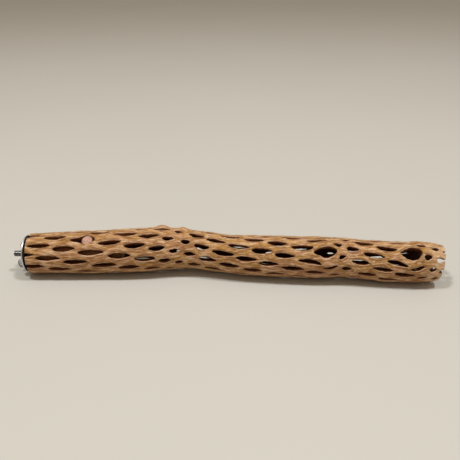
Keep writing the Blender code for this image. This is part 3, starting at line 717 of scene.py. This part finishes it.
def steel_finish(name, brushed, smoothest, dull, bright):
    """Stainless steel: fine marks that run as rings round the hardware's axis or all ways, between two
    greys, the brighter marks rougher."""
    made, shader, place = finish(name, metallic=1.0)
    centred = place.node("ShaderNodeMapping", {0: place, 1: (0.0, Y_ORIGIN * MM, -AXIS_HEIGHT * MM)})
    rings = place.node(
        "ShaderNodeTexWave",
        {0: centred, "Scale": 900.0, "Distortion": 1.2, "Detail": 2.0, "Detail Scale": 2.0},
        out=1,
        wave_type="RINGS",
        rings_direction="X",
    )
    scratches = place.node("ShaderNodeTexNoise", {0: centred, "Scale": 900.0, "Detail": 4.0})
    marks = rings * brushed + scratches * (1.0 - brushed)
    feed(shader, "Base Color", marks.blend((dull, dull, dull, 1.0), (bright, bright, bright, 1.0)))
    feed(shader, "Roughness", smoothest + 0.18 * marks)
    emboss(shader, marks, 0.2, 0.0001)
    return made


washer_at = -2.0 * GAP - PAD_THICK
washer = flat_ring("washer_ring", WASHER_RADIUS, WASHER_THICK, WASHER_EDGE, washer_at)
washer.data.materials.append(steel_finish("washer_steel", 0.7, 0.22, 0.5, 0.72))
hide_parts("washer")
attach(washer, "washer")

# The stud: an M6 hanger bolt in stainless steel, with a machine thread outside and a coarse wood thread
# that is screwed into the dowel.
STUD_IN_PLUG = 38.0
STUD_END = 16.9
STUD_RADIUS, STUD_PITCH, STUD_DEPTH = 3.0, 1.0, 0.6
SCREW_LENGTH = 37.0
SCREW_CORE, SCREW_PITCH, SCREW_DEPTH = 2.1, 2.6, 0.85
# The radii of its two ends, turned down to cones, and how fast the inner one grows
SCREW_TIP, SCREW_TIP_RISE, STUD_TIP = 0.6, 0.8, 2.15


def stud_points():
    """A rod whose radius falls by the thread's depth in a rounded triangle wave, once a pitch along and
    once round, so that the wave winds as a right-hand helix. Its ends are turned down to cones."""
    around = 40
    screwed_in = np.linspace(0.0, STUD_IN_PLUG, 134)
    proud = np.linspace(STUD_IN_PLUG, STUD_IN_PLUG + STUD_END, 172)
    height = np.concatenate([screwed_in, proud[1:]])
    turn = np.linspace(0.0, 2.0 * np.pi, around, endpoint=False)[:, None]
    wood = height < SCREW_LENGTH
    pitch = np.where(wood, SCREW_PITCH, STUD_PITCH)
    wave = (height / pitch - turn / (2.0 * np.pi)) % 1.0
    crest = np.abs(2.0 * wave - 1.0)
    machine = STUD_RADIUS - STUD_DEPTH * np.clip(1.15 * (1.0 - crest), 0.0, 1.0)
    screw = SCREW_CORE + SCREW_DEPTH * np.clip(crest * 2.6 - 1.6, 0.0, 1.0)
    ends = np.minimum(SCREW_TIP + height * SCREW_TIP_RISE, STUD_TIP + (height[-1] - height))
    radius = np.minimum(np.where(wood, screw, machine), ends)
    grid = np.stack([radius * np.cos(turn), radius * np.sin(turn), height + 0.0 * turn], axis=-1)
    low = np.zeros((around, 1, 3))
    high = low + (0.0, 0.0, height[-1])
    return np.concatenate([low, grid, high], axis=1)[:, ::-1]


stud_grid = placed(stud_points(), on_axis(STUD_IN_PLUG), OUTWARDS)[None]
stud = surface("stud", stud_grid, grid_faces(*stud_grid.shape[:3]))
stud.data.set_sharp_from_angle(angle=math.radians(50.0))
stud.data.materials.append(steel_finish("stud_steel", 0.2, 0.14, 0.22, 0.42))
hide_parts("hanger_bolt")
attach(stud, "perch")

# The wing nut: cast and plated, with a tapered threaded hub and two rounded wings that stand up and lean
# outwards, tightened by hand against the washer.
NUT_TURNED = 50.0
# The hub's section, as (radius, height): down its eased and tapered outer side and up its bore
HUB_SECTION = [(3.4, 5.0), (4.4, 5.0), (4.9, 4.85), (5.15, 4.5), (5.5, 3.4), (5.95, 2.1), (6.3, 1.3)]
HUB_SECTION += [(6.4, 0.9), (6.4, 0.35), (6.2, 0.08), (5.9, 0.0), (3.5, 0.0), (3.3, 0.2), (3.3, 4.8)]
HUB_SECTION += [(3.4, 5.0)]
# One wing's outline and a point in its middle, as (height above the nut's base, distance from the axis)
WING_OUTLINE = [
    (1.0, 4.4),
    (0.9, 8.8),
    (1.4, 12.4),
    (3.2, 14.6),
    (5.4, 13.8),
    (7.2, 11.4),
    (8.0, 9.0),
    (7.5, 7.0),
    (5.8, 5.6),
    (4.2, 4.4),
]
WING_MIDDLE = (4.2, 9.4)
# Half a wing's thickness at its root, that far from the axis, and what it loses a millimetre outwards
WING_ROOT, WING_HALF_THICK, WING_THINS = 4.4, 1.15, 0.03


def closed_curve(corners, count):
    """A smooth closed curve through points: a cubic between each two, with slopes taken from the points
    on either side."""
    corners = np.asarray(corners, float)
    slopes = (np.roll(corners, -1, 0) - np.roll(corners, 1, 0)) / 2.0
    place = np.linspace(0.0, len(corners), count, endpoint=False)
    left = place.astype(int)
    right = (left + 1) % len(corners)
    s = (place - left)[:, None]
    level = s * s * (3.0 - 2.0 * s)
    start, end = s * (1.0 - s) ** 2, s * s * (s - 1.0)
    straight = corners[left] * (1.0 - level) + corners[right] * level
    return straight + start * slopes[left] + end * slopes[right]


def wing_points(side):
    """One wing as a grid: u runs round its outline and v over its edge from one face to the other, a
    superellipse in (share of the outline's size, half thickness). It thins towards its tip."""
    outline = closed_curve(WING_OUTLINE, 72)
    theta = np.linspace(0.0, np.pi, 15)
    size = np.sin(theta) ** 0.35
    size[-1] = 0.0
    thick = np.sign(np.cos(theta)) * np.abs(np.cos(theta)) ** 0.5
    place = WING_MIDDLE + (outline - WING_MIDDLE)[:, None, :] * size[None, :, None]
    half = WING_HALF_THICK - WING_THINS * (place[..., 1] - WING_ROOT)
    turn = math.radians(NUT_TURNED)
    x, y = side * place[..., 1], -side * thick * half
    x, y = x * math.cos(turn) - y * math.sin(turn), x * math.sin(turn) + y * math.cos(turn)
    return np.stack([x, y, place[..., 0]], axis=-1)


nut_origin = on_axis(washer_at - WASHER_THICK - GAP)
hub = placed(turned_points(HUB_SECTION, 64), nut_origin, OUTWARDS)[None]
wings = np.stack([placed(wing_points(side), nut_origin, OUTWARDS) for side in (1.0, -1.0)])
nut_points = np.concatenate([hub.reshape(-1, 3), wings.reshape(-1, 3)])
hub_faces = grid_faces(*hub.shape[:3]).reshape(-1, 4)
wing_faces = grid_faces(*wings.shape[:3]).reshape(-1, 4) + hub[..., 0].size
nut = surface("wing_nut_cast", nut_points, np.concatenate([hub_faces, wing_faces]))
nut.data.materials.append(steel_finish("nut_steel", 0.15, 0.27, 0.19, 0.32))
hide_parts("wing_nut")
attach(nut, "nut")

# The floor: a wide, pale, matt table top that fills the picture, just below the stem's worn underside.
FLOOR_HALF = 40.0
FLOOR_BELOW = 0.1


def floor_finish():
    """A pale cream top with a faint unevenness of tone."""
    made, shader, place = finish("pale_floor", 0.6)
    tone = place.node("ShaderNodeTexNoise", {0: place, "Scale": 2.2, "Detail": 2.0})
    feed(shader, "Base Color", tone.blend((0.53, 0.515, 0.46, 1.0), (0.57, 0.55, 0.495, 1.0)))
    return made


floor_points = np.array([[-1, -1, 0], [1, -1, 0], [1, 1, 0], [-1, 1, 0]]) * FLOOR_HALF
floor_points = floor_points - (0.0, 0.0, FLOOR_BELOW * MM)
floor = surface("floor", floor_points, np.array([[0, 1, 2, 3]]))
floor.data.materials.append(floor_finish())

# The light: two soft lamps overhead, left and right and a little in front, whose shadows overlap under
# the stem and part at its ends, and a room that is bright above and dim near the horizon.
LAMPS = [("lamp_left", (-0.75, -0.2, 2.2)), ("lamp_right", (0.75, -0.2, 2.2))]
LAMP_SIZE, LAMP_POWER, LAMP_COLOUR = 0.3, 23.0, (0.97, 0.98, 1.0)
# The room's colour by how steeply one looks up, from the horizon (0) to straight above (1)
ROOM = [
    (0.0, (0.225, 0.18, 0.14)),
    (0.3, (0.26, 0.21, 0.16)),
    (0.75, (0.46, 0.40, 0.33)),
    (1.0, (0.66, 0.60, 0.53)),
]

for name, place in LAMPS:
    light = bpy.data.lights.new(name, "AREA")
    light.shape = "DISK"
    light.size = LAMP_SIZE
    light.energy = LAMP_POWER
    light.color = LAMP_COLOUR
    lamp = bpy.data.objects.new(name, light)
    bpy.context.scene.collection.objects.link(lamp)
    lamp.location = place
    lamp.rotation_euler = Vector(place).to_track_quat("Z", "Y").to_euler()

world = bpy.data.worlds.new("soft_room")
world.use_nodes = True
way = Wire(world.node_tree, world.node_tree.nodes.new("ShaderNodeTexCoord").outputs["Generated"])
upwards = way.node("ShaderNodeSeparateXYZ", {0: way}, out=2)
background = world.node_tree.nodes["Background"]
feed(background, "Color", way.node("ShaderNodeValToRGB", {0: upwards}, stops=ROOM))
bpy.context.scene.world = world
bpy.context.scene.view_settings.view_transform = "Standard"

# The camera: 0.43 m in front of the stem's middle and 0.28 m up, looking down by 28 degrees and turned
# slightly to the right.
view = bpy.data.cameras.new("camera")
view.lens = 39.91
view.sensor_width = 36.0
view.sensor_fit = "HORIZONTAL"
camera = bpy.data.objects.new("camera", view)
camera.location = (-0.0047, -0.4303, 0.2780)
camera.rotation_euler = (math.radians(62.00), math.radians(0.15), math.radians(-1.32))
bpy.context.scene.collection.objects.link(camera)
bpy.context.scene.camera = camera

bpy.context.view_layer.update()
